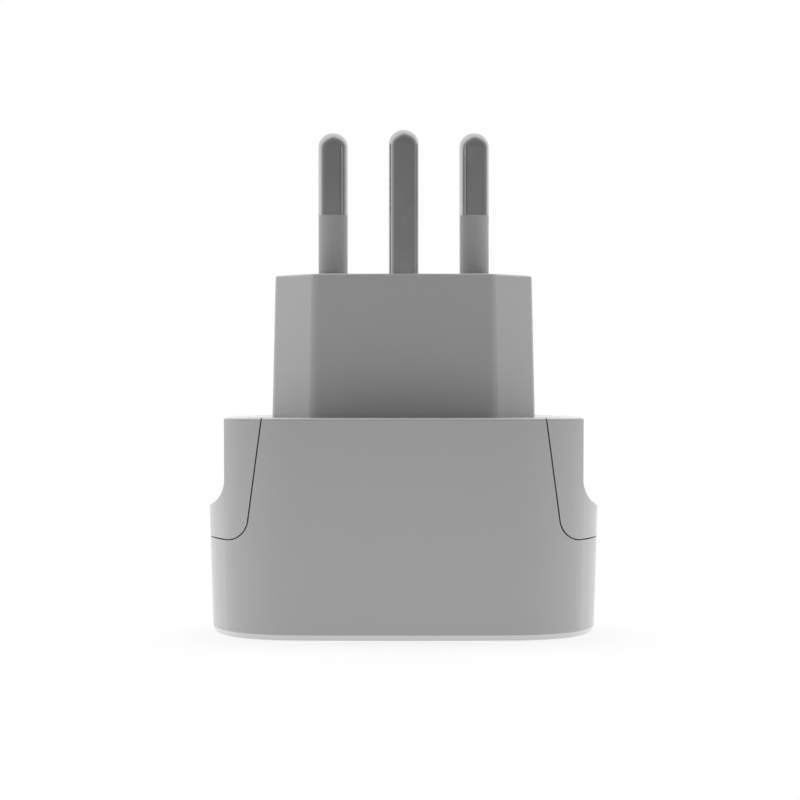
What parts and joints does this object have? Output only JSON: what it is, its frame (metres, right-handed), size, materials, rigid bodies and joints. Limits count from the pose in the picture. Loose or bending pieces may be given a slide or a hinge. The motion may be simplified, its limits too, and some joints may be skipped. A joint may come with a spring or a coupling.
{
  "type": "travel plug adapter",
  "caption": "Three-pole travel adapter: hexagonal Type J plug block with sleeved round pins on a rounded body with finger recesses and a shuttered multi-standard socket face",
  "frame": {"origin": "Middle of the flat socket face on the underside, which is also the bottom centre of the part's bounding box", "axes": "+Z runs out of the socket face towards the pin tips, X runs across the two live pins, and +Y is the back, away from the earth pin"},
  "size_m": [0.0522, 0.0398, 0.0667],
  "materials": {
    "housing_plastic": "light grey moulded plastic, fine satin surface",
    "sleeve_plastic": "mid grey insulating sleeve, satin",
    "pin_plating": "nickel-plated turned brass, semi-bright",
    "contact_brass": "bare spring brass, pressed and folded",
    "inner_plastic": "natural moulded insulator, matt",
    "shutter_plastic": "white slippery plastic, smooth",
    "screw_steel": "zinc-plated steel",
    "spring_steel": "drawn spring steel wire"
  },
  "bodies": {
    "adapter": {"front_housing": "housing_plastic", "rear_housing": "housing_plastic", "housing_screws": "screw_steel", "line_pin": "pin_plating", "neutral_pin": "pin_plating", "earth_pin": "pin_plating", "line_pin_sleeve": "sleeve_plastic", "neutral_pin_sleeve": "sleeve_plastic", "pin_retainer": "inner_plastic", "retainer_screws": "screw_steel", "line_busbar": "contact_brass", "neutral_busbar": "contact_brass", "earth_busbar": "contact_brass", "line_contact": "contact_brass", "neutral_contact": "contact_brass", "round_earth_contact": "contact_brass", "wide_earth_contact": "contact_brass", "contact_rivets": "contact_brass", "contact_carrier": "inner_plastic", "carrier_cover": "inner_plastic", "carrier_screws": "screw_steel", "left_shutter_spring": "spring_steel", "right_shutter_spring": "spring_steel"},
    "shutter": {"shutter": "shutter_plastic"}
  },
  "joints": [
    {"name": "shutter_slide", "type": "slide", "parent": "adapter", "child": "shutter", "axis": [0, 1, 0], "range_m": [0, 0.0076], "stiffness_N_per_m": 120, "springref_m": -0.004, "deforming": ["left_shutter_spring", "right_shutter_spring"]}
  ]
}
